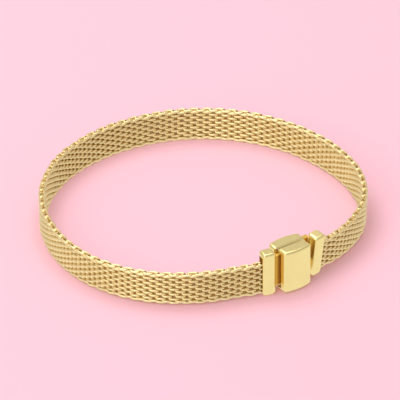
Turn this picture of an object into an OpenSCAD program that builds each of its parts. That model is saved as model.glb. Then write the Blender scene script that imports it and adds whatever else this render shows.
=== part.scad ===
// Woven mesh bracelet with a fold-over clasp, standing on its lower edge.
// Millimetres. Z is up, the surface it stands on is z = 0, and the wrist passes along Z.
// The origin is the middle of the whole outline. Angles run from +X, seen from above.

/* [Loop] */
// Mean radius of the band's outer face
loop_radius = 31.5; // [30:0.5:34]
// How far the loop is longer than wide, as a change of radius
oval = 0.87; // [0:0.01:1.2]
// Direction of the loop's long axis, in degrees
oval_turn = 32; // [20:1:45]
// Three soft corners of the loop, as a change of radius
lobes = 0.6; // [0:0.01:0.8]
// Direction of the first soft corner, in degrees
lobe_turn = -3; // [-10:1:10]
// Four slight flats of the loop, as a change of radius
flats = 0.31; // [0:0.01:0.5]
// Direction of the first flat, in degrees
flat_turn = -13; // [-20:1:0]

/* [Mesh band] */
// Width of the woven band, measured up the loop
band_w = 6.75; // [6:0.05:7]
// Thickness of the woven band
band_t = 1.4; // [1.2:0.05:1.45]
// Bevel along the band's four long edges
band_bevel = 0.35; // [0.1:0.05:0.5]
// Outward lean of the band, in degrees
band_lean = 2; // [0:0.5:4]

/* [End caps] */
// Height of both end caps
cap_h = 9.3; // [9.1:0.1:9.4]
// Length of an end cap along the band
cap_l = 2.75; // [2.6:0.05:2.9]
// Thickness of an end cap
cap_t = 2.75; // [2.7:0.05:2.9]
// Radius of the rounded back of an end cap
cap_back_r = 3.2; // [3:0.1:4]
// Depth of the mouth that holds the band
mouth_depth = 2; // [1.8:0.1:2.1]
// Play between the band and the walls of the mouth
mouth_play = 0.08; // [0.06:0.01:0.1]
// Wall under the mouth
mouth_floor = 0.3; // [0.25:0.01:0.32]
// Wall over the mouth
mouth_roof = 0.9; // [0.5:0.05:1.2]
// Outward lean of the right end cap, in degrees
right_lean = 8; // [6:0.5:9]

/* [Clasp] */
// Direction of the clasp seen from the middle of the loop, in degrees
clasp_angle = 306.4; // [306:0.1:307]
// Height of the base plate and the cover
clasp_h = 9; // [8.8:0.1:9.2]
// Height of the cover's lower edge above the surface
clasp_lift = 0.3; // [0.2:0.05:0.4]
// Length of the base plate
base_l = 7.2; // [7:0.1:7.3]
// Thickness of the base plate at its middle
base_t = 2.8; // [2.7:0.05:2.9]
// Radius of the base plate's wrist side
base_back_r = 11; // [10:0.5:14]
// Length of the cover
cover_l = 6.4; // [6.3:0.05:6.4]
// Thickness of the cover at its ends
cover_t = 2.4; // [2.35:0.05:2.5]
// Radius of the cover's bowed front
cover_front_r = 10.5; // [10:0.5:14]
// Groove between the base plate and the closed cover
groove = 0.35; // [0.3:0.01:0.4]
// Bevel along the outer edges of the clasp and caps
edge_bevel = 0.3; // [0.2:0.05:0.35]

/* [Hinge and catch] */
// Radius of the hinge pin and of the link pin
pin_r = 0.35; // [0.3:0.01:0.36]
// Radial play of a pin in the part that turns on it
turn_play = 0.05; // [0.03:0.01:0.08]
// Radial play of a pin in the part that holds it
hold_play = 0.01; // [0.01:0.01:0.03]
// Radius of the round end of a hinge lug
lug_r = 0.65; // [0.6:0.01:0.68]
// Thickness of the tongue that hooks on the peg
tongue_t = 0.9; // [0.8:0.05:1]
// Height of the tongue
tongue_h = 6.6; // [6:0.1:6.8]

/* [Hidden] */
$fn = 64;
over = 1;
gold = [0.86, 0.74, 0.43];
pale_gold = [0.90, 0.81, 0.56];
deep_gold = [0.74, 0.57, 0.27];

// Places of the end caps on the loop: angle, radius and turn of each cap's middle
left_cap_angle = clasp_angle - 10.5;
left_cap_radius = loop_radius - 2.05;
left_cap_turn = left_cap_angle + 89;
right_cap_angle = clasp_angle + 11.6;
right_cap_radius = loop_radius - 1.9;
right_cap_turn = right_cap_angle + 88;
// How far the leaning cap is lifted, so that its lowest edge clears the surface
right_cap_lift = 0.15;
// The mouth's middle lies this much nearer to the front than the cap's middle
mouth_offset = 0.1;
// Bevels of a cap: its two lower corners seen from the front, and its back edges
cap_low_bevel = 0.7;
cap_back_bevel = 0.5;
// Angles where the band ends inside the two mouths
degrees_per_mm = 180 / (PI * left_cap_radius);
left_band_end = left_cap_angle - (cap_l / 2 - mouth_depth) * degrees_per_mm;
right_band_start = right_cap_angle + (cap_l / 2 - mouth_depth) * degrees_per_mm - 360;
// Degrees of the loop that lie straight in a mouth, and the stretches that ease into it
held = mouth_depth * degrees_per_mm + 0.5;
path_ease = 9;
lean_ease = 40;
rise_ease = 110;
ring_count = 120;
clasp_radius = loop_radius - 2.3;
// Local places in the clasp, with x along it to the right and y towards the wrist
base_front_y = 0.2;
base_back_y = base_front_y + base_t;
base_x0 = -3.5;
base_z0 = 0.1;
cover_back_y = base_front_y - groove;
cover_front_y = cover_back_y - cover_t;
bow = cover_front_r - sqrt(cover_front_r * cover_front_r - cover_l * cover_l / 4);
cover_wall = 0.5;
cover_face = 1.15;
cover_cavity_end = 1;
hinge_x = cover_l / 2 - 0.75;
hinge_y = cover_back_y - 1.25;
hinge_pin_z0 = 0.55;
stem_w = 1;
lug_h = 1.4;
lug_gap = 0.1;
lug_z = [1.3, clasp_h - 1.3 - lug_h];
link_x = 2.75;
link_y = 1.4;
link_pin_z0 = 1;
eye_r = 0.8;
eye_h = 2.4;
neck_t = 1;
web_h = 7.2;
web_x0 = 3.9;
peg_l = 1.2;
peg_h = 3.2;
peg_x = -1.3;
peg_out = 1.25;
slot_play = 0.15;
tongue_lift = 0.05;
tongue_end = 0.25;

// Radius of the loop's outer face at an angle
function outer_radius(a) =
    loop_radius
    + oval * cos(2 * (a - oval_turn))
    + lobes * cos(3 * (a - lobe_turn))
    + flats * cos(4 * (a - flat_turn));

// 0 away from an end of the band, 1 where a mouth holds it, with soft starts
function soft(t) = t <= 0 ? 0 : t >= 1 ? 1 : t * t * (3 - 2 * t);
function near_left(a, stretch) = soft(1 - (left_band_end - held - a) / stretch);
function near_right(a, stretch) = soft(1 - (a - right_band_start - held) / stretch);

// Place of the band's middle in a mouth, outwards and up, for a cap's lean and lift
band_drop = mouth_floor + mouth_play + band_w / 2 - cap_h / 2;
function seat_out(lean) = mouth_offset * cos(lean) + band_drop * sin(lean);
function seat_up(lean, lift) = cap_h / 2 + lift + band_drop * cos(lean) - mouth_offset * sin(lean);

// A straight line through a mouth: the cap's middle, moved outwards and along
function heading(turn) = [cos(turn), sin(turn)];
function straight(angle, radius, turn, lean, along) =
    radius * heading(angle) + seat_out(lean) * heading(turn - 90) + along * heading(turn);
band_reach = mouth_depth - cap_l / 2;
function left_line(a) =
    straight(left_cap_angle, left_cap_radius, left_cap_turn, 0,
        band_reach - (left_band_end - a) / degrees_per_mm);
function right_line(a) =
    straight(right_cap_angle, right_cap_radius, right_cap_turn, right_lean,
        (a - right_band_start) / degrees_per_mm - band_reach);

// The band's middle seen from above, and its lean and rise
function on_loop(a) =
    let (left = near_left(a, path_ease))
    let (right = near_right(a, path_ease))
    (outer_radius(a) - band_t / 2) * heading(a) * (1 - left - right)
    + left_line(a) * left
    + right_line(a) * right;
function lean_at(a) =
    band_lean * (1 - near_left(a, lean_ease) - near_right(a, lean_ease))
    + right_lean * near_right(a, lean_ease);
function rise_at(a) =
    (seat_up(0, 0) - band_w / 2) * near_left(a, rise_ease)
    + (seat_up(right_lean, right_cap_lift) - band_w / 2) * near_right(a, rise_ease);

// Corners of the band's section as [outwards, up] from its middle
function section() =
    let (t = band_t / 2)
    let (w = band_w / 2)
    let (c = band_bevel)
    [[t, c - w], [t, w - c], [t - c, w], [c - t, w], [-t, w - c], [-t, c - w], [c - t, -w], [t - c, -w]];

// One ring of the band: its section leaned, lifted and set square to the loop
function ring(a) =
    let (middle = on_loop(a))
    let (ahead = on_loop(a + 0.5) - on_loop(a - 0.5))
    let (out = [ahead[1], -ahead[0]] / norm(ahead))
    let (lean = lean_at(a))
    [for (c = section())
        let (reach = c[0] * cos(lean) + c[1] * sin(lean))
        let (up = c[1] * cos(lean) - c[0] * sin(lean))
        [middle[0] + out[0] * reach, middle[1] + out[1] * reach, max(0, band_w / 2 + rise_at(a) + up)]];

// The band's points, and the shift that centres their outline on the origin
band_span = left_band_end - right_band_start;
band_points = [
    for (i = [0 : ring_count])
        for (p = ring(right_band_start + band_span * i / ring_count))
            p];
band_x = [for (p = band_points) p[0]];
band_y = [for (p = band_points) p[1]];
centre_shift = -[max(band_x) + min(band_x), max(band_y) + min(band_y)] / 2;

module mesh_band() {
    sides = len(section());
    last = ring_count * sides;
    walls = [
        for (i = [0 : ring_count - 1])
            for (j = [0 : sides - 1])
                let (k = (j + 1) % sides)
                let (a = i * sides)
                let (b = a + sides)
                for (face = [[a + j, a + k, b + k], [a + j, b + k, b + j]])
                    face];
    ends = [
        [for (j = [sides - 1 : -1 : 0]) j],
        [for (j = [0 : sides - 1]) last + j]];
    color(gold)
        translate(centre_shift)
            polyhedron(points = band_points, faces = concat(walls, ends));
}

// A rectangle from its low corner to its high corner, with bevelled corners.
// The bevels go round from the low corner: low x and low y, high x, both high, high y.
module bevelled_rect(low, high, bevels) {
    a = bevels[0];
    b = bevels[1];
    c = bevels[2];
    d = bevels[3];
    polygon([
        [low[0] + a, low[1]], [high[0] - b, low[1]], [high[0], low[1] + b], [high[0], high[1] - c],
        [high[0] - c, high[1]], [low[0] + d, high[1]], [low[0], high[1] - d], [low[0], low[1] + a]]);
}

function all_round(bevel) = [bevel, bevel, bevel, bevel];

// Cuts an upright shape to a box, bevelled as seen along Y and as seen along X
module bevel_box(low, high, front_bevels, side_bevels) {
    intersection() {
        children();
        translate([0, high[1] + over, 0])
            rotate([90, 0, 0])
                linear_extrude(high[1] - low[1] + 2 * over)
                    bevelled_rect([low[0], low[2]], [high[0], high[2]], front_bevels);
        translate([low[0] - over, 0, 0])
            rotate([90, 0, 90])
                linear_extrude(high[0] - low[0] + 2 * over)
                    bevelled_rect([low[1], low[2]], [high[1], high[2]], side_bevels);
    }
}

// Sets its children in the clasp's own axes
module in_clasp() {
    translate([
        clasp_radius * cos(clasp_angle) + centre_shift[0],
        clasp_radius * sin(clasp_angle) + centre_shift[1],
        clasp_lift])
        rotate([0, 0, clasp_angle + 90])
            children();
}

// Sets its children in an end cap's own axes, leaning outwards about its middle height
module in_cap(angle, radius, turn, lean, lift) {
    translate([
        radius * cos(angle) + centre_shift[0],
        radius * sin(angle) + centre_shift[1],
        cap_h / 2 + lift])
        rotate([0, 0, turn])
            rotate([lean, 0, 0])
                translate([0, 0, -cap_h / 2])
                    children();
}

module in_left_cap() {
    in_cap(left_cap_angle, left_cap_radius, left_cap_turn, 0, 0)
        children();
}

// The right cap's X axis points away from its mouth, as the left cap's does
module in_right_cap() {
    in_cap(right_cap_angle, right_cap_radius, right_cap_turn, right_lean, right_cap_lift)
        mirror([1, 0, 0])
            children();
}

// The plan of an end cap: a flat front and a rounded back
module cap_plan() {
    intersection() {
        bevelled_rect([-cap_l / 2, -cap_t / 2], [cap_l / 2, cap_t / 2], all_round(edge_bevel / 2));
        translate([0, cap_t / 2 - cap_back_r])
            circle(r = cap_back_r);
    }
}

module cap_body() {
    low = [-cap_l / 2, -cap_t / 2, 0];
    high = [cap_l / 2, cap_t / 2, cap_h];
    front_bevels = [edge_bevel, cap_low_bevel, edge_bevel, edge_bevel];
    side_bevels = [edge_bevel, cap_back_bevel, cap_back_bevel, edge_bevel];
    bevel_box(low, high, front_bevels, side_bevels)
        linear_extrude(cap_h)
            cap_plan();
}

// The mouth of an end cap, open at its low X end
module mouth() {
    width = band_t + 2 * mouth_play;
    height = cap_h - mouth_floor - mouth_roof;
    translate([-cap_l / 2 - over, -mouth_offset - width / 2, mouth_floor])
        cube([mouth_depth + mouth_play + over, width, height]);
}

module end_cap_left() {
    color(pale_gold)
        difference() {
            union() {
                in_left_cap()
                    cap_body();
                in_clasp()
                    tongue();
            }
            in_left_cap()
                mouth();
        }
}

// The tongue reaches under the cover, and its slot hooks over the peg
module tongue() {
    root_x = -4.7;
    slot_l = peg_l + 2 * slot_play;
    slot_h = peg_h + 2 * slot_play;
    difference() {
        translate([root_x, base_front_y - tongue_lift - tongue_t, (clasp_h - tongue_h) / 2])
            cube([tongue_end - root_x, tongue_t, tongue_h]);
        translate([peg_x - slot_l / 2, base_front_y - tongue_lift - tongue_t - over, (clasp_h - slot_h) / 2])
            cube([slot_l, tongue_t + 2 * over, slot_h]);
    }
}

module end_cap_right() {
    color(pale_gold)
        difference() {
            union() {
                in_right_cap()
                    cap_body();
                in_clasp()
                    link_arm();
            }
            in_right_cap()
                mouth();
            in_clasp()
                translate([link_x, link_y, 0])
                    cylinder(r = pin_r + turn_play, h = clasp_h);
        }
}

// The web beside the base plate, and the eye that turns on the link pin
module link_arm() {
    web_end = 5.2;
    translate([web_x0, link_y - neck_t / 2, (clasp_h - web_h) / 2])
        cube([web_end - web_x0, neck_t, web_h]);
    translate([0, 0, (clasp_h - eye_h) / 2])
        linear_extrude(eye_h) {
            translate([link_x, link_y])
                circle(r = eye_r);
            translate([link_x, link_y - neck_t / 2])
                square([web_end - link_x, neck_t]);
        }
}

module base_plan() {
    low = [base_x0, base_front_y];
    high = [base_x0 + base_l, base_back_y];
    intersection() {
        bevelled_rect(low, high, all_round(edge_bevel));
        translate([base_x0 + base_l / 2, base_back_y - base_back_r])
            circle(r = base_back_r, $fn = 128);
    }
}

module clasp_base() {
    low = [base_x0, base_front_y, base_z0];
    high = [base_x0 + base_l, base_back_y, clasp_h - base_z0];
    eye_room = eye_r + 0.12;
    notch_h = eye_h + 2 * lug_gap;
    color(deep_gold)
        in_clasp()
            difference() {
                union() {
                    bevel_box(low, high, all_round(edge_bevel), all_round(edge_bevel))
                        linear_extrude(clasp_h)
                            base_plan();
                    peg();
                    for (z = lug_z)
                        translate([0, 0, z])
                            hinge_lug();
                }
                translate([link_x - eye_room, base_front_y - over, (clasp_h - notch_h) / 2])
                    cube([base_l, base_t + 2 * over, notch_h]);
                translate([hinge_x, hinge_y, 0])
                    cylinder(r = pin_r + hold_play, h = clasp_h);
                translate([link_x, link_y, link_pin_z0])
                    cylinder(r = pin_r + hold_play, h = clasp_h - 2 * link_pin_z0);
            }
}

// A post on the base plate that the tongue's slot drops over
module peg() {
    translate([peg_x - peg_l / 2, base_front_y - peg_out, (clasp_h - peg_h) / 2])
        cube([peg_l, peg_out + over, peg_h]);
}

// A stem that rises from the base plate to a round end about the hinge pin
module hinge_lug() {
    linear_extrude(lug_h) {
        translate([hinge_x, hinge_y])
            circle(r = lug_r);
        translate([hinge_x - stem_w / 2, hinge_y])
            square([stem_w, base_front_y + over - hinge_y]);
    }
}

// The plan of the cover: a straight back and a bowed front
module cover_plan() {
    intersection() {
        bevelled_rect(
            [-cover_l / 2, cover_front_y - bow], [cover_l / 2, cover_back_y], all_round(edge_bevel / 2));
        translate([0, cover_front_y - bow + cover_front_r])
            circle(r = cover_front_r, $fn = 128);
    }
}

module clasp_cover() {
    low = [-cover_l / 2, cover_front_y - bow, 0];
    high = [cover_l / 2, cover_back_y, clasp_h];
    lug_room = lug_r + 0.1;
    lug_span = lug_z[1] + lug_h - lug_z[0];
    color(pale_gold)
        in_clasp()
            difference() {
                bevel_box(low, high, all_round(edge_bevel), all_round(edge_bevel))
                    linear_extrude(clasp_h)
                        cover_plan();
                translate([-cover_l / 2 - over, cover_front_y + cover_face, cover_wall])
                    cube([cover_l / 2 + over + cover_cavity_end, cover_t, clasp_h - 2 * cover_wall]);
                translate([hinge_x - lug_room - lug_gap, hinge_y - lug_room, lug_z[0] - lug_gap])
                    cube([cover_l, cover_t, lug_span + 2 * lug_gap]);
                translate([hinge_x, hinge_y, hinge_pin_z0 - lug_gap / 2])
                    cylinder(r = pin_r + turn_play, h = clasp_h - 2 * hinge_pin_z0 + lug_gap);
            }
}

module hinge_pin() {
    color(gold)
        in_clasp()
            translate([hinge_x, hinge_y, hinge_pin_z0])
                cylinder(r = pin_r, h = clasp_h - 2 * hinge_pin_z0);
}

module link_pin() {
    color(gold)
        in_clasp()
            translate([link_x, link_y, link_pin_z0 + lug_gap / 2])
                cylinder(r = pin_r, h = clasp_h - 2 * link_pin_z0 - lug_gap);
}

mesh_band();
end_cap_left();
end_cap_right();
clasp_base();
clasp_cover();
hinge_pin();
link_pin();
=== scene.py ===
"""A woven gold mesh bracelet with a fold-over clasp, standing on its lower edge.

The band is a row of flattened coils of two wires each, which stand across it side by side.
The caps, the base plate and the cover are the frame's own solids, cut to softly rounded bodies.
Sizes are millimetres and degrees until they reach a mesh, where MM turns them into metres.
"""

import math

import bmesh
import bpy
from mathutils import Matrix, Vector


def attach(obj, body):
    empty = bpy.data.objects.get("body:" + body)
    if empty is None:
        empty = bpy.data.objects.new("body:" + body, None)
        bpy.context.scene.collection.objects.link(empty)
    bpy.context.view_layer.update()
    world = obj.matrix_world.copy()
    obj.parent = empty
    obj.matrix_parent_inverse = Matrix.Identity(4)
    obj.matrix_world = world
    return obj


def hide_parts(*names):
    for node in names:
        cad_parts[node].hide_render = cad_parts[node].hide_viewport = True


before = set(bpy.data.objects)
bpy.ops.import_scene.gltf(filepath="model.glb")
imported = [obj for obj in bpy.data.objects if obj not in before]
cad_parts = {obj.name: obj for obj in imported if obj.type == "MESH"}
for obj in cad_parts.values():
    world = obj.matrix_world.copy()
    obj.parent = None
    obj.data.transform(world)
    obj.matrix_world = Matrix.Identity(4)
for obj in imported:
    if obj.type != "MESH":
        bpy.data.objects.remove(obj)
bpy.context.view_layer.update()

MM = 0.001

# The loop: mean radius of the outer face and its soft corners, as changes of radius
LOOP_RADIUS = 31.5
OVAL, OVAL_TURN = 0.87, 32
LOBES, LOBE_TURN = 0.6, -3
FLATS, FLAT_TURN = 0.31, -13
# Where the middle of the loop lies in the frame
CENTRE = Vector((-0.585516, 0.0380652, 0))

# The band
BAND_WIDTH = 6.75
BAND_THICKNESS = 1.4
BAND_LEAN = 2

# The end caps: angle, radius and turn of each one's middle, and what holds the band in them
CAP_HEIGHT = 9.3
CAP_LENGTH = 2.75
CAP_THICKNESS = 2.75
LEFT_CAP = (295.9, 29.45, 384.9)
RIGHT_CAP = (318.0, 29.6, 406.0)
RIGHT_LEAN = 8
RIGHT_LIFT = 0.15
MOUTH_DEPTH = 2
MOUTH_OFFSET = 0.1
MOUTH_FLOOR = 0.38
MOUTH_SPARE = 0.5
DEGREES_PER_MM = 180 / (math.pi * LEFT_CAP[1])
BAND_REACH = MOUTH_DEPTH - CAP_LENGTH / 2
BAND_DROP = MOUTH_FLOOR + BAND_WIDTH / 2 - CAP_HEIGHT / 2
LEFT_END = LEFT_CAP[0] + BAND_REACH * DEGREES_PER_MM
RIGHT_START = RIGHT_CAP[0] - BAND_REACH * DEGREES_PER_MM - 360
# The degrees of the loop over which a cap holds the band straight
HELD = MOUTH_DEPTH * DEGREES_PER_MM + MOUTH_SPARE
# The degrees of the loop over which the band leaves the caps' line, lean and height
PATH_EASE = 9
LEAN_EASE = 40
RISE_EASE = 110
# How finely the band's length is measured, and half the stretch that gives its direction
PATH_SAMPLES = 4000
DIRECTION_REACH = 0.5

# The outer wire of each coil, and the flat part turn that closes it along the band's edges
WIRE_RADIUS = 0.255
WIRE_SIDES = 8
STEPS_PER_TURN = 18
COIL_HALF_WIDTH = 0.9
END_TURNS = 0.5
# The wire deep inside each coil, which closes the holes between the outer strands and takes the dark
# painted shade colour there, and the share of the coil's length that it leaves free at each end
INNER_RADIUS = 0.3
INNER_SIDES = 6
INNER_STEPS_PER_TURN = 10
INNER_HALF_WIDTH = 1.0
INNER_HALF_DEPTH = 0.12
INNER_SHORT = 0.02
# Both wires: the climb of a turn, the power that flattens the coil's round (1 leaves it
# round), and how much of the climb is held back for the coil's narrow sides
TURN_PITCH = 1.136
COIL_FLATNESS = 0.8
BEND_SHARE = 0.87
# How far the coils' ends stay inside the band's edges
COIL_CLEARANCE = 0.04
# The row of coils: its pitch, the room at its ends and each coil's own small stray
COIL_PITCH = 1.268
COIL_END_GAP = 1.55
COIL_SHIFT = 0.02
COIL_TWIST = 1.2
WEAVE_SEED = 7
WEAVE_PIECES = 4

# The clasp's middle: its direction and distance from the loop's middle, and its height
CLASP_ANGLE = 306.4
CLASP_RADIUS = 29.2
CLASP_LIFT = 0.3

# Soft bodies: how far one stays inside its solid's outer faces, and the steps of its curves
SKIN = 0.012
CORNER_STEPS = 6
BOW_STEPS = 12
EDGE_STEPS = 5
# Each one's long sides seen from above, as y, corner radius and the radius of a bowed side
# (0 for a straight one), and its foot and head seen from the front, as z and corner radius
CAP_FRONT = (-CAP_THICKNESS / 2, 0.6, 0)
CAP_BACK = (CAP_THICKNESS / 2 - SKIN, 1.0, 3.2)
CAP_FOOT = (0, 0.85)
CAP_HEAD = (CAP_HEIGHT, 0.6)
CAP_EDGE = 0.5
BASE_HALF = 3.6
BASE_SHIFT = 0.1
BASE_FRONT = (-0.1, 0.5, 0)
BASE_BACK = (3.0 - SKIN, 0.9, 11)
BASE_FOOT = (0.1, 0.6)
BASE_HEAD = (8.9, 0.6)
BASE_EDGE = 0.45
COVER_HALF = 3.2
COVER_GAP = 0.15
COVER_DEPTH = 2.4
COVER_BOW = 10.5
COVER_SWELL = COVER_BOW - math.sqrt(COVER_BOW ** 2 - COVER_HALF ** 2)
COVER_FRONT = (-COVER_GAP - COVER_DEPTH - COVER_SWELL, 0.6, COVER_BOW)
COVER_BACK = (0.45, 0.5, 0)
COVER_FOOT = (0, 0.7)
COVER_HEAD = (9, 0.6)
COVER_EDGE = 0.5
# Two opposite corners of the room round what stands out of the soft bodies
TONGUE_ROOM = ((-4.8, -0.9, 1), (0.5, 0.3, 8))
ARM_ROOM = ((1.5, 0.3, 0.8), (5.3, 2.5, 8.2))
LUGS_ROOM = ((-3, -3, 1), (3.4, 0.6, 8))
# The small rounding of every hard edge, and the angle from which an edge is hard
BEVEL_WIDTH = 0.08
BEVEL_SEGMENTS = 2
BEVEL_ANGLE = 35
# How near two points are the same one, and how flat a bend is no bend
MERGE_REACH = 0.002
FLAT_ANGLE = 1

# Gold: its change of tone, clouds, hairlines and relief
TONE_SPREAD = 0.06
CLOUD_SCALE = 420.0
CLOUD_DETAIL = 2.0
HAIRLINE_DETAIL = 3.0
ROUGHNESS_SPREAD = (0.8, 1.25)
RELIEF_STRENGTH = 0.06
RELIEF_DEPTH = 0.02
# How far inside the band a wire starts to take the painted shade colour, and where it is darkest
PAINTED_SHADE_RANGE = (0.5, 1.0)
NO_STREAK = (1, 1, 1)
UPRIGHT_STREAK = (1, 1, 8)

# The floor and the world round it, in metres where they have a size
FLOOR_HALF = 3.0
FLOOR_COLOUR = (0.98, 0.56, 0.66, 1)
FLOOR_ROUGHNESS = 0.9
WORLD_COLOUR = (1.0, 0.97, 0.95, 1)
LIGHT_BELOW = 0.95
LIGHT_ABOVE = 0.55
HORIZON_REACH = 0.3

# The camera: its height above the horizon, how far it stands back in metres, its lens, its
# sensor and what it looks at
CAMERA_ELEVATION = 31.8
CAMERA_DISTANCE = 1.5
CAMERA_LENS = 691
CAMERA_SENSOR = 36
CAMERA_AIM = Vector((-0.0006, 0, 0.0045))


def sin(degrees):
    return math.sin(math.radians(degrees))


def cos(degrees):
    return math.cos(math.radians(degrees))


def heading(turn):
    return Vector((cos(turn), sin(turn), 0))


def soft(t):
    """Rises from 0 to 1 with level ends."""
    t = min(1, max(0, t))
    return t * t * (3 - 2 * t)


def near_left(angle, stretch):
    return soft(1 - (LEFT_END - HELD - angle) / stretch)


def near_right(angle, stretch):
    return soft(1 - (angle - RIGHT_START - HELD) / stretch)


def outer_radius(angle):
    """Radius of the band's outer face at an angle of the loop."""
    oval = OVAL * cos(2 * (angle - OVAL_TURN))
    lobes = LOBES * cos(3 * (angle - LOBE_TURN))
    flats = FLATS * cos(4 * (angle - FLAT_TURN))
    return LOOP_RADIUS + oval + lobes + flats


def seat_out(lean):
    """How far outside a cap's middle the band is held."""
    return MOUTH_OFFSET * cos(lean) + BAND_DROP * sin(lean)


def seat_up(lean, lift):
    """How far above the floor the band's middle is held."""
    return CAP_HEIGHT / 2 + lift + BAND_DROP * cos(lean) - MOUTH_OFFSET * sin(lean)


def through_mouth(cap, lean, along):
    """A point on the straight line that the band follows inside an end cap's mouth."""
    angle, radius, turn = cap
    return radius * heading(angle) + seat_out(lean) * heading(turn - 90) + along * heading(turn)


def on_loop(angle):
    """The band's middle seen from above."""
    left = near_left(angle, PATH_EASE)
    right = near_right(angle, PATH_EASE)
    past_left = BAND_REACH - (LEFT_END - angle) / DEGREES_PER_MM
    past_right = (angle - RIGHT_START) / DEGREES_PER_MM - BAND_REACH
    free = (outer_radius(angle) - BAND_THICKNESS / 2) * heading(angle)
    at_left = through_mouth(LEFT_CAP, 0, past_left)
    at_right = through_mouth(RIGHT_CAP, RIGHT_LEAN, past_right)
    return free * (1 - left - right) + at_left * left + at_right * right


def lean_at(angle):
    near = near_right(angle, LEAN_EASE)
    return BAND_LEAN * (1 - near_left(angle, LEAN_EASE) - near) + RIGHT_LEAN * near


def rise_at(angle):
    """How far above the floor the band's lower edge lies."""
    left = (seat_up(0, 0) - BAND_WIDTH / 2) * near_left(angle, RISE_EASE)
    right = (seat_up(RIGHT_LEAN, RIGHT_LIFT) - BAND_WIDTH / 2) * near_right(angle, RISE_EASE)
    return left + right


def coil_place(angle):
    """Middle, direction along the band and direction up the band of one coil, in metres."""
    along = (on_loop(angle + DIRECTION_REACH) - on_loop(angle - DIRECTION_REACH)).normalized()
    outward = Vector((along.y, -along.x, 0))
    lean = lean_at(angle)
    up = Vector((0, 0, 1)) * cos(lean) + outward * sin(lean)
    middle = on_loop(angle) + CENTRE + Vector((0, 0, BAND_WIDTH / 2 + rise_at(angle)))
    return middle * MM, along, up


def coil_places():
    """The place of every coil, evenly spaced along the band."""
    sweep = LEFT_END - RIGHT_START
    angles = [RIGHT_START + sweep * i / PATH_SAMPLES for i in range(PATH_SAMPLES + 1)]
    points = [on_loop(angle) for angle in angles]
    reach = [0]
    for before, after in zip(points, points[1:]):
        reach.append(reach[-1] + (after - before).length)
    room = reach[-1] - 2 * COIL_END_GAP
    count = round(room / COIL_PITCH) + 1
    places = []
    step = 0
    for number in range(count):
        target = COIL_END_GAP + room * number / (count - 1)
        while reach[step + 1] < target:
            step += 1
        share = (target - reach[step]) / (reach[step + 1] - reach[step])
        places.append(coil_place(angles[step] + (angles[step + 1] - angles[step]) * share))
    return places


def add(tree, kind, **settings):
    node = tree.nodes.new(kind)
    for name, value in settings.items():
        setattr(node, name, value)
    return node


def connect(tree, value, socket):
    """Links a socket to another one, or sets it to a plain value."""
    if isinstance(value, bpy.types.NodeSocket):
        tree.links.new(value, socket)
    else:
        socket.default_value = value


def feed(tree, node, **values):
    """Sets or links the node's inputs by name, with _ for a space."""
    for name, value in values.items():
        connect(tree, value, node.inputs[name.replace("_", " ")])
    return node


def calc(tree, operation, *values):
    """A Math node of that operation over numbers or sockets."""
    node = add(tree, "ShaderNodeMath", operation=operation)
    for socket, value in zip(node.inputs, values):
        connect(tree, value, socket)
    return node.outputs[0]


def scaled(tree, vector, factor):
    """A vector socket times a number or socket."""
    node = add(tree, "ShaderNodeVectorMath", operation="SCALE")
    tree.links.new(vector, node.inputs[0])
    connect(tree, factor, node.inputs["Scale"])
    return node.outputs["Vector"]


def named(tree, name, sort):
    """A value that each point of the mesh carries under that name."""
    node = add(tree, "GeometryNodeInputNamedAttribute", data_type=sort)
    return feed(tree, node, Name=name).outputs["Attribute"]


def ranged(tree, value, old=(0, 1), new=(0, 1)):
    """Moves a value from one range to another."""
    node = feed(tree, add(tree, "ShaderNodeMapRange"), Value=value)
    for name, number in zip(("From Min", "From Max", "To Min", "To Max"), (*old, *new)):
        node.inputs[name].default_value = number
    return node.outputs["Result"]


def squared(tree, wave, power):
    """A sine wave with flatter tops, so that a round coil becomes a flattened one."""
    size = calc(tree, "POWER", calc(tree, "ABSOLUTE", wave), power)
    return calc(tree, "MULTIPLY", calc(tree, "SIGN", wave), size)


def coil_height(tree, given, share, turns, theta):
    """Height on the coil's axis: a climb that is steepest at the sides, and flat past the ends."""
    length = calc(tree, "MULTIPLY", given["Turn Pitch"], turns)
    even = calc(tree, "MULTIPLY", calc(tree, "SUBTRACT", 0.5, share), length)
    wave = calc(tree, "SINE", calc(tree, "MULTIPLY", theta, 2))
    bends = calc(tree, "MULTIPLY", given["Bend Share"], wave)
    jump = calc(tree, "MULTIPLY", calc(tree, "DIVIDE", given["Turn Pitch"], math.tau), bends)
    free = calc(tree, "SUBTRACT", even, jump)
    top = calc(tree, "MULTIPLY", calc(tree, "MULTIPLY", given["Turn Pitch"], given["Turns"]), 0.5)
    return calc(tree, "MAXIMUM", calc(tree, "MINIMUM", free, top), calc(tree, "MULTIPLY", top, -1))


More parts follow.
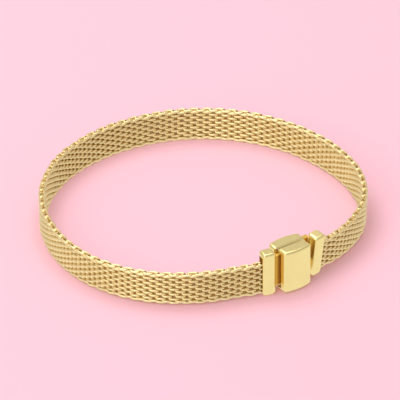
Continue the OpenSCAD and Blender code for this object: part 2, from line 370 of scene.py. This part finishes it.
def coil_wire(tree, given, kind):
    """One wire coil about the local Z axis, with how deep in the band each point lies.

    kind is Outer or Inner, the word that starts the names of the wire's own inputs.
    """
    line = add(tree, "GeometryNodeCurvePrimitiveLine")
    steps = feed(tree, add(tree, "GeometryNodeResampleCurve"), Curve=line.outputs["Curve"],
                 Count=given[kind + " Steps"])
    short = given[kind + " Short"]
    ends = given[kind + " End Turns"]
    used = calc(tree, "SUBTRACT", 1, calc(tree, "MULTIPLY", short, 2))
    share = calc(tree, "MULTIPLY_ADD", add(tree, "GeometryNodeSplineParameter").outputs["Factor"],
                 used, short)
    turns = calc(tree, "MULTIPLY_ADD", ends, 2, given["Turns"])
    turned = calc(tree, "SUBTRACT", calc(tree, "MULTIPLY", share, turns), ends)
    theta = calc(tree, "MULTIPLY", turned, math.tau)
    across = squared(tree, calc(tree, "COSINE", theta), given["Flatness"])
    depth = squared(tree, calc(tree, "SINE", theta), given["Flatness"])
    width = calc(tree, "MULTIPLY", given[kind + " Half Width"], -1)
    thickness = calc(tree, "MULTIPLY", given[kind + " Half Depth"], -1)
    out = calc(tree, "MULTIPLY", depth, thickness)
    place = feed(tree, add(tree, "ShaderNodeCombineXYZ"), X=calc(tree, "MULTIPLY", across, width),
                 Y=out, Z=coil_height(tree, given, share, turns, theta))
    coil = feed(tree, add(tree, "GeometryNodeSetPosition"), Geometry=steps.outputs["Curve"],
                Position=place.outputs["Vector"])
    # How deep inside the band each point lies, which the wire's material uses to paint shade
    shown = calc(tree, "DIVIDE", calc(tree, "ABSOLUTE", out), given["Outer Half Depth"])
    marked = feed(tree, add(tree, "GeometryNodeStoreNamedAttribute"), Geometry=coil.outputs["Geometry"],
                  Name="inside", Value=calc(tree, "SUBTRACT", 1, shown))
    ring = feed(tree, add(tree, "GeometryNodeCurvePrimitiveCircle"), Resolution=given[kind + " Sides"],
                Radius=given[kind + " Wire Radius"])
    return feed(tree, add(tree, "GeometryNodeCurveToMesh"), Curve=marked.outputs["Geometry"],
                Profile_Curve=ring.outputs["Curve"], Fill_Caps=True)


def coil_inputs(tree):
    """Names the tree's inputs: those of each wire, and those that both share."""
    face = tree.interface
    face.new_socket("Geometry", in_out="OUTPUT", socket_type="NodeSocketGeometry")
    face.new_socket("Geometry", in_out="INPUT", socket_type="NodeSocketGeometry")
    wire = (("Half Width", "Float"), ("Half Depth", "Float"), ("Wire Radius", "Float"),
            ("Short", "Float"), ("End Turns", "Float"), ("Sides", "Int"), ("Steps", "Int"))
    shared = (("Turn Pitch", "Float"), ("Turns", "Float"), ("Flatness", "Float"),
              ("Bend Share", "Float"), ("Shift", "Float"), ("Twist", "Float"), ("Seed", "Int"),
              ("Material", "Material"))
    for prefix, inputs in (("Outer ", wire), ("Inner ", wire), ("", shared)):
        for name, sort in inputs:
            face.new_socket(prefix + name, in_out="INPUT", socket_type="NodeSocket" + sort)
    return add(tree, "NodeGroupInput").outputs


def coil_rotation(tree, given, number, drift):
    """Stands each coil up across the band, every other one turned round, with a small twist."""
    odd = calc(tree, "FLOORED_MODULO", number, 2)
    flip = calc(tree, "SUBTRACT", 1, calc(tree, "MULTIPLY", odd, 2))
    axes = add(tree, "FunctionNodeAxesToRotation", primary_axis="Z", secondary_axis="X")
    feed(tree, axes, Primary_Axis=named(tree, "up", "FLOAT_VECTOR"),
         Secondary_Axis=scaled(tree, named(tree, "along", "FLOAT_VECTOR"), flip))
    twist = add(tree, "FunctionNodeEulerToRotation")
    tree.links.new(scaled(tree, drift, given["Twist"]), twist.inputs[0])
    rotation = add(tree, "FunctionNodeRotateRotation", rotation_space="LOCAL")
    feed(tree, rotation, Rotation=axes.outputs["Rotation"], Rotate_By=twist.outputs["Rotation"])
    return rotation.outputs["Rotation"]


def coil_tree():
    """Geometry Nodes that put one flattened double wire coil on each point of a mesh."""
    tree = bpy.data.node_groups.new("wire_coils", "GeometryNodeTree")
    given = coil_inputs(tree)
    wire = add(tree, "GeometryNodeJoinGeometry")
    for kind in ("Inner", "Outer"):
        tree.links.new(coil_wire(tree, given, kind).outputs["Mesh"], wire.inputs["Geometry"])

    number = named(tree, "number", "INT")
    drift = feed(tree, add(tree, "FunctionNodeRandomValue", data_type="FLOAT_VECTOR"),
                 ID=number, Seed=given["Seed"])
    drift.inputs[0].default_value = (-1, -1, -1)
    drift.inputs[1].default_value = (1, 1, 1)
    drift = drift.outputs[0]
    points = feed(tree, add(tree, "GeometryNodeSetPosition"), Geometry=given["Geometry"],
                  Offset=scaled(tree, drift, given["Shift"]))
    coils = feed(tree, add(tree, "GeometryNodeInstanceOnPoints"), Points=points.outputs["Geometry"],
                 Instance=wire.outputs["Geometry"], Rotation=coil_rotation(tree, given, number, drift))
    real = feed(tree, add(tree, "GeometryNodeRealizeInstances"), Geometry=coils.outputs["Instances"])
    smooth = feed(tree, add(tree, "GeometryNodeSetShadeSmooth"), Geometry=real.outputs["Geometry"])
    finished = feed(tree, add(tree, "GeometryNodeSetMaterial"), Geometry=smooth.outputs["Geometry"],
                    Material=given["Material"])
    tree.links.new(finished.outputs["Geometry"], add(tree, "NodeGroupOutput").inputs["Geometry"])
    return tree


def set_inputs(modifier, **values):
    """Sets a modifier's inputs by name, through each socket's identifier."""
    for item in modifier.node_group.interface.items_tree:
        key = item.name.replace(" ", "_")
        if item.item_type == "SOCKET" and item.in_out == "INPUT" and key in values:
            modifier[item.identifier] = values[key]


def new_piece(name, mesh):
    piece = bpy.data.objects.new(name, mesh)
    bpy.context.scene.collection.objects.link(piece)
    return piece


def settle(piece):
    """Turns a piece's modifiers into plain mesh."""
    bpy.context.view_layer.update()
    shaped = piece.evaluated_get(bpy.context.evaluated_depsgraph_get())
    mesh = bpy.data.meshes.new_from_object(shaped)
    piece.modifiers.clear()
    piece.data = mesh
    mesh.name = piece.name
    return piece


def coil_points(places):
    """Loose points, each with its coil's number and directions, from numbered coil places."""
    mesh = bpy.data.meshes.new("coil_places")
    mesh.from_pydata([middle for _, (middle, _, _) in places], [], [])
    number = mesh.attributes.new("number", "INT", "POINT")
    number.data.foreach_set("value", [index for index, _ in places])
    for name, pick in (("along", 1), ("up", 2)):
        layer = mesh.attributes.new(name, "FLOAT_VECTOR", "POINT")
        layer.data.foreach_set("vector", [value for _, place in places for value in place[pick]])
    return mesh


def woven_band(material):
    """The band's wire coils, as a few pieces that share one rule."""
    places = list(enumerate(coil_places()))
    tree = coil_tree()
    turns = (BAND_WIDTH - 2 * WIRE_RADIUS - 2 * COIL_CLEARANCE) / TURN_PITCH
    share = math.ceil(len(places) / WEAVE_PIECES)
    pieces = []
    for first in range(0, len(places), share):
        points = coil_points(places[first:first + share])
        piece = new_piece(f"woven_mesh_{len(pieces) + 1}", points)
        modifier = piece.modifiers.new("coils", "NODES")
        modifier.node_group = tree
        set_inputs(
            modifier,
            Outer_Half_Width=COIL_HALF_WIDTH * MM,
            Outer_Half_Depth=(BAND_THICKNESS / 2 - WIRE_RADIUS) * MM,
            Outer_Wire_Radius=WIRE_RADIUS * MM,
            Outer_Short=0.0,
            Outer_End_Turns=END_TURNS,
            Outer_Sides=WIRE_SIDES,
            Outer_Steps=round((turns + 2 * END_TURNS) * STEPS_PER_TURN) + 1,
            Inner_Half_Width=INNER_HALF_WIDTH * MM,
            Inner_Half_Depth=INNER_HALF_DEPTH * MM,
            Inner_Wire_Radius=INNER_RADIUS * MM,
            Inner_Short=INNER_SHORT,
            Inner_End_Turns=0.0,
            Inner_Sides=INNER_SIDES,
            Inner_Steps=round(turns * INNER_STEPS_PER_TURN) + 1,
            Turn_Pitch=TURN_PITCH * MM,
            Turns=turns,
            Flatness=COIL_FLATNESS,
            Bend_Share=BEND_SHARE,
            Shift=COIL_SHIFT * MM,
            Twist=math.radians(COIL_TWIST),
            Seed=WEAVE_SEED,
            Material=material)
        pieces.append(settle(piece))
    return pieces


def clasp_place():
    """Where the clasp's own axes lie: x along it, y towards the wrist."""
    middle = CLASP_RADIUS * heading(CLASP_ANGLE) + CENTRE + Vector((0, 0, CLASP_LIFT))
    return Matrix.Translation(middle) @ Matrix.Rotation(math.radians(CLASP_ANGLE + 90), 4, "Z")


def cap_place(cap, lean, lift, side):
    """Where an end cap's own axes lie: x towards the clasp, z up from the cap's foot.

    side is 1 for the left cap and -1 for the right one.
    """
    angle, radius, turn = cap
    middle = radius * heading(angle) + CENTRE + Vector((0, 0, CAP_HEIGHT / 2 + lift))
    turned = Matrix.Rotation(math.radians(turn), 4, "Z") @ Matrix.Rotation(math.radians(lean), 4, "X")
    foot = Matrix.Translation((0, 0, -CAP_HEIGHT / 2))
    return Matrix.Translation(middle) @ turned @ foot @ Matrix.Diagonal((side, 1, 1, 1))


def soft_side(half, y, corner, bow, turn):
    """Points and outward directions along one long side of a plan, with its two rounded corners.

    turn is 0 for the side at high y and 180 for the one at low y. bow is the radius of a
    bowed side, or 0 for a straight one.
    """
    way = cos(turn)
    corner_x = way * (half - corner)
    if bow:
        centre_y = y - way * bow
        reach = math.sqrt((bow - corner) ** 2 - (half - corner) ** 2)
        tilt = math.degrees(math.atan2(half - corner, reach))
        corner_y = centre_y + way * reach
        bowed = [(Vector((0, centre_y, 0)), bow, 90 - tilt, 90 + tilt, BOW_STEPS)]
    else:
        tilt = 0
        corner_y = y - way * corner
        bowed = []
    first = (Vector((corner_x, corner_y, 0)), corner, 0, 90 - tilt, CORNER_STEPS)
    last = (Vector((-corner_x, corner_y, 0)), corner, 90 + tilt, 180, CORNER_STEPS)
    side = []
    for middle, radius, start, end, parts in [first, *bowed, last]:
        for step in range(parts + 1):
            out = heading(turn + start + (end - start) * step / parts)
            side.append((middle + radius * out, out))
    return side


def cushion(name, half, front, back, low, high, edge, place):
    """A hard body with soft edges all round. front and back are (y, corner radius, bow radius)."""
    plan = soft_side(half, *back, 0) + soft_side(half, *front, 180)
    turns = [90 * step / EDGE_STEPS for step in range(EDGE_STEPS + 1)]
    rise = [(edge * (1 - cos(turn)), edge * (1 - sin(turn))) for turn in turns]
    levels = [(low + height, inset) for height, inset in rise]
    levels += [(high - height, inset) for height, inset in reversed(rise)]
    rings = [[place @ (point - inset * out + Vector((0, 0, height))) * MM for point, out in plan]
             for height, inset in levels]
    count = len(plan)
    top = (len(rings) - 1) * count
    faces = [tuple(range(count - 1, -1, -1)), tuple(range(top, top + count))]
    for start in range(0, top, count):
        for index in range(count):
            after = (index + 1) % count
            faces.append((start + index, start + after, start + count + after, start + count + index))
    mesh = bpy.data.meshes.new(name)
    mesh.from_pydata([point for ring in rings for point in ring], [], faces)
    return outwards(mesh)


def soft_box(name, half, front, back, foot, head, edge, place):
    """A hard body with soft edges and round corners both in plan and seen from the front.

    front and back are (y, corner radius, bow radius) of the plan. foot and head are
    (z, corner radius) of the outline seen from the front.
    """
    half -= SKIN
    front = (front[0] + SKIN, *front[1:])
    low = (foot[0] + SKIN, foot[1], 0)
    high = (head[0] - SKIN, head[1], 0)
    piece = new_piece(name, cushion(name, half, front, back, low[0], high[0], edge, place))
    upright = place @ Matrix.Rotation(math.radians(90), 4, "X")
    outline = cushion(name + "_outline", half, low, high, -back[0], -front[0], edge, upright)
    mesh = combine(piece, outline, "INTERSECT").data
    bpy.data.objects.remove(piece)
    return mesh


def block(name, corners, place):
    """A plain box between two opposite corners, given in the axes of its place."""
    low, high = [Vector(corner) for corner in corners]
    shape = bmesh.new()
    bmesh.ops.create_cube(shape, size=1)
    for vert in shape.verts:
        part = Vector([(high[i] - low[i]) * vert.co[i] for i in range(3)])
        vert.co = place @ ((low + high) / 2 + part) * MM
    mesh = bpy.data.meshes.new(name)
    shape.to_mesh(mesh)
    shape.free()
    return outwards(mesh)


def merged(mesh):
    """The mesh as a bmesh without doubles."""
    shape = bmesh.new()
    shape.from_mesh(mesh)
    bmesh.ops.remove_doubles(shape, verts=shape.verts, dist=MERGE_REACH * MM)
    return shape


def outwards(mesh):
    """Merges doubles, turns every face outwards and shades it smooth."""
    shape = merged(mesh)
    bmesh.ops.recalc_face_normals(shape, faces=shape.faces)
    for face in shape.faces:
        face.smooth = True
    shape.to_mesh(mesh)
    shape.free()
    return mesh


def frame_copy(node):
    """A copy of a frame solid with its loose triangles merged into whole faces."""
    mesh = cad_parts[node].data.copy()
    shape = merged(mesh)
    bmesh.ops.dissolve_limit(shape, angle_limit=math.radians(FLAT_ANGLE), verts=shape.verts,
                             edges=shape.edges)
    shape.to_mesh(mesh)
    shape.free()
    return mesh


def combine(piece, other, operation):
    """Adds, cuts or keeps what two solids share. Each face keeps its material."""
    tool = new_piece("tool", other)
    change = piece.modifiers.new("combine", "BOOLEAN")
    change.operation = operation
    change.solver = "EXACT"
    change.object = tool
    change.material_mode = "TRANSFER"
    settle(piece)
    bpy.data.objects.remove(tool)
    return piece


def give(mesh, material):
    mesh.materials.clear()
    mesh.materials.append(material)


def polished(node, bodies, outer, hidden):
    """A frame solid cut to softly rounded bodies, so that its slots and mouths stay as they are.

    What the frame's own faces give, the slots, mouths and backs, gets the hidden material, the one that
    carries the painted shade.
    """
    solid = frame_copy(node)
    give(solid, hidden)
    for body in bodies:
        give(body, outer)
    piece = new_piece(node + "_polished", bodies[0])
    for body in bodies[1:]:
        combine(piece, body, "UNION")
    combine(piece, solid, "INTERSECT")
    outwards(piece.data)
    bevel = piece.modifiers.new("rounding", "BEVEL")
    bevel.width = BEVEL_WIDTH * MM
    bevel.segments = BEVEL_SEGMENTS
    bevel.limit_method = "ANGLE"
    bevel.angle_limit = math.radians(BEVEL_ANGLE)
    even = piece.modifiers.new("even", "WEIGHTED_NORMAL")
    even.keep_sharp = True
    return settle(piece)


def soft_cap(name, place):
    return soft_box(name, CAP_LENGTH / 2, CAP_FRONT, CAP_BACK, CAP_FOOT, CAP_HEAD, CAP_EDGE, place)


def clasp_pieces(outer, hidden):
    """The two caps, the base plate and the cover, each with its node and the body it moves with.

    All faces of the base plate get the outer gold, without the painted shade of the slots, because its
    back shows.
    """
    clasp = clasp_place()
    left = soft_cap("left", cap_place(LEFT_CAP, 0, 0, 1))
    right = soft_cap("right", cap_place(RIGHT_CAP, RIGHT_LEAN, RIGHT_LIFT, -1))
    base = soft_box("base", BASE_HALF, BASE_FRONT, BASE_BACK, BASE_FOOT, BASE_HEAD, BASE_EDGE,
                    clasp @ Matrix.Translation((BASE_SHIFT, 0, 0)))
    cover = soft_box("cover", COVER_HALF, COVER_FRONT, COVER_BACK, COVER_FOOT, COVER_HEAD, COVER_EDGE,
                     clasp)
    tongue = block("tongue", TONGUE_ROOM, clasp)
    arm = block("arm", ARM_ROOM, clasp)
    lugs = block("lugs", LUGS_ROOM, clasp)
    return [
        (polished("end_cap_left", (left, tongue), outer, hidden), "end_cap_left", "bracelet"),
        (polished("end_cap_right", (right, arm), outer, hidden), "end_cap_right", "bracelet"),
        (polished("clasp_base", (base, lugs), outer, outer), "clasp_base", "bracelet"),
        (polished("clasp_cover", (cover,), outer, hidden), "clasp_cover", "cover")]


def blend(tree, factor, first, second):
    """Mixes two colours, each a socket or a list of three numbers."""
    mix = add(tree, "ShaderNodeMix", data_type="RGBA")
    tree.links.new(factor, mix.inputs["Factor"])
    for name, colour in (("A", first), ("B", second)):
        socket = [item for item in mix.inputs if item.name == name and item.type == "RGBA"][0]
        if not isinstance(colour, bpy.types.NodeSocket):
            colour = (*colour, 1)
        connect(tree, colour, socket)
    return [item for item in mix.outputs if item.type == "RGBA"][0]


def gold_tone(tree, place, colour, painted_shade_colour):
    """The colour with soft cloudiness, and with painted shade, a darker colour, where a wire lies deep
    inside the band.
    """
    clouds = feed(tree, add(tree, "ShaderNodeTexNoise"), Vector=place, Scale=CLOUD_SCALE,
                  Detail=CLOUD_DETAIL)
    tone = blend(tree, clouds.outputs["Fac"], [part * (1 - TONE_SPREAD) for part in colour],
                 [min(1, part * (1 + TONE_SPREAD)) for part in colour])
    if not painted_shade_colour:
        return tone
    # Painted shade: a darker colour deeper inside the band, where the wires lie in shadow
    inside = add(tree, "ShaderNodeAttribute", attribute_name="inside").outputs["Fac"]
    return blend(tree, ranged(tree, inside, old=PAINTED_SHADE_RANGE), tone, painted_shade_colour)


def metal(name, colour, roughness, streak, scale, painted_shade_colour=None, metallic=1.0):
    """Polished gold: a metal with faint hairlines, soft cloudiness and a slight change of tone.

    streak stretches the hairlines and scale is how fine they are. The darker colour given for a
    woven wire is painted shade, where the wire lies inside the band.
    """
    material = bpy.data.materials.new(name)
    material.use_nodes = True
    tree = material.node_tree
    tree.nodes.clear()
    shader = add(tree, "ShaderNodeBsdfPrincipled")
    shader.inputs["Metallic"].default_value = metallic
    place = add(tree, "ShaderNodeTexCoord").outputs["Object"]
    stretch = feed(tree, add(tree, "ShaderNodeMapping"), Vector=place, Scale=streak)
    hairlines = feed(tree, add(tree, "ShaderNodeTexNoise"), Vector=stretch.outputs["Vector"],
                     Scale=scale, Detail=HAIRLINE_DETAIL).outputs["Fac"]
    gloss = ranged(tree, hairlines, new=[roughness * part for part in ROUGHNESS_SPREAD])
    relief = feed(tree, add(tree, "ShaderNodeBump"), Height=hairlines, Strength=RELIEF_STRENGTH,
                  Distance=RELIEF_DEPTH * MM)
    feed(tree, shader, Base_Color=gold_tone(tree, place, colour, painted_shade_colour), Roughness=gloss,
         Normal=relief.outputs["Normal"])
    tree.links.new(shader.outputs["BSDF"], add(tree, "ShaderNodeOutputMaterial").inputs["Surface"])
    return material


def plain_floor():
    """A pale floor that reaches past every view, and that doesn't tint the gold's reflections."""
    material = bpy.data.materials.new("floor_paper")
    material.use_nodes = True
    shader = material.node_tree.nodes["Principled BSDF"]
    shader.inputs["Base Color"].default_value = FLOOR_COLOUR
    shader.inputs["Roughness"].default_value = FLOOR_ROUGHNESS
    corners = [(x * FLOOR_HALF, y * FLOOR_HALF, 0) for x, y in ((-1, -1), (1, -1), (1, 1), (-1, 1))]
    mesh = bpy.data.meshes.new("floor")
    mesh.from_pydata(corners, [], [(0, 1, 2, 3)])
    mesh.materials.append(material)
    floor = new_piece("floor", mesh)
    floor.visible_glossy = False


def soft_light(name, place, size, power):
    """A round soft light that faces the object."""
    lamp = bpy.data.lights.new(name, "AREA")
    lamp.shape = "DISK"
    lamp.size = size
    lamp.energy = power
    light = bpy.data.objects.new(name, lamp)
    bpy.context.scene.collection.objects.link(light)
    light.location = place
    light.rotation_euler = (-Vector(place)).to_track_quat("-Z", "Y").to_euler()


def studio():
    """Even light from all round, brighter from below the horizon, with a soft key and fill."""
    bpy.context.scene.view_settings.view_transform = "Standard"
    world = bpy.data.worlds.new("studio")
    world.use_nodes = True
    tree = world.node_tree
    sky = tree.nodes["Background"]
    sky.inputs["Color"].default_value = WORLD_COLOUR
    way = feed(tree, add(tree, "ShaderNodeSeparateXYZ"),
               Vector=add(tree, "ShaderNodeTexCoord").outputs["Generated"])
    feed(tree, sky, Strength=ranged(tree, way.outputs["Z"], old=(-HORIZON_REACH, HORIZON_REACH),
                                    new=(LIGHT_BELOW, LIGHT_ABOVE)))
    bpy.context.scene.world = world
    soft_light("key", place=(-0.08, 0.1, 0.5), size=0.55, power=1.75)
    soft_light("fill", place=(-0.3, -0.45, 0.3), size=0.5, power=1.0)


def camera():
    lens = bpy.data.cameras.new("camera")
    lens.lens = CAMERA_LENS
    lens.sensor_width = CAMERA_SENSOR
    view = bpy.data.objects.new("camera", lens)
    bpy.context.scene.collection.objects.link(view)
    back = Vector((0, -cos(CAMERA_ELEVATION), sin(CAMERA_ELEVATION)))
    view.location = CAMERA_AIM + back * CAMERA_DISTANCE
    view.rotation_euler = (-back).to_track_quat("-Z", "Y").to_euler()
    bpy.context.scene.camera = view


camera()
studio()
plain_floor()

# The woven wire's gold, with a darker colour painted as shade where it lies deep inside the band
wire_gold = metal("wire_gold", colour=(1.0, 0.77, 0.41), roughness=0.36, streak=NO_STREAK,
                  scale=2500.0, painted_shade_colour=(0.5, 0.3, 0.06))
clasp_gold = metal("clasp_gold", colour=(1.0, 0.80, 0.36), roughness=0.30, streak=UPRIGHT_STREAK,
                   scale=1500.0)
# Inside the slots and mouths: a rougher, less metallic gold, painted darker and deeper orange as
# painted shade and painted reflection of the gold round it
inner_gold = metal("inner_gold", colour=(0.95, 0.62, 0.13), roughness=0.45, streak=UPRIGHT_STREAK,
                   scale=1500.0, metallic=0.85)
pin_gold = metal("pin_gold", colour=(0.95, 0.68, 0.28), roughness=0.3, streak=UPRIGHT_STREAK,
                 scale=1500.0)

for piece in woven_band(wire_gold):
    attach(piece, "bracelet")
    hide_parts("mesh_band")

for piece, node, body in clasp_pieces(clasp_gold, inner_gold):
    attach(piece, body)
    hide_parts(node)

for node in ("hinge_pin", "link_pin"):
    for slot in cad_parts[node].material_slots:
        slot.material = pin_gold
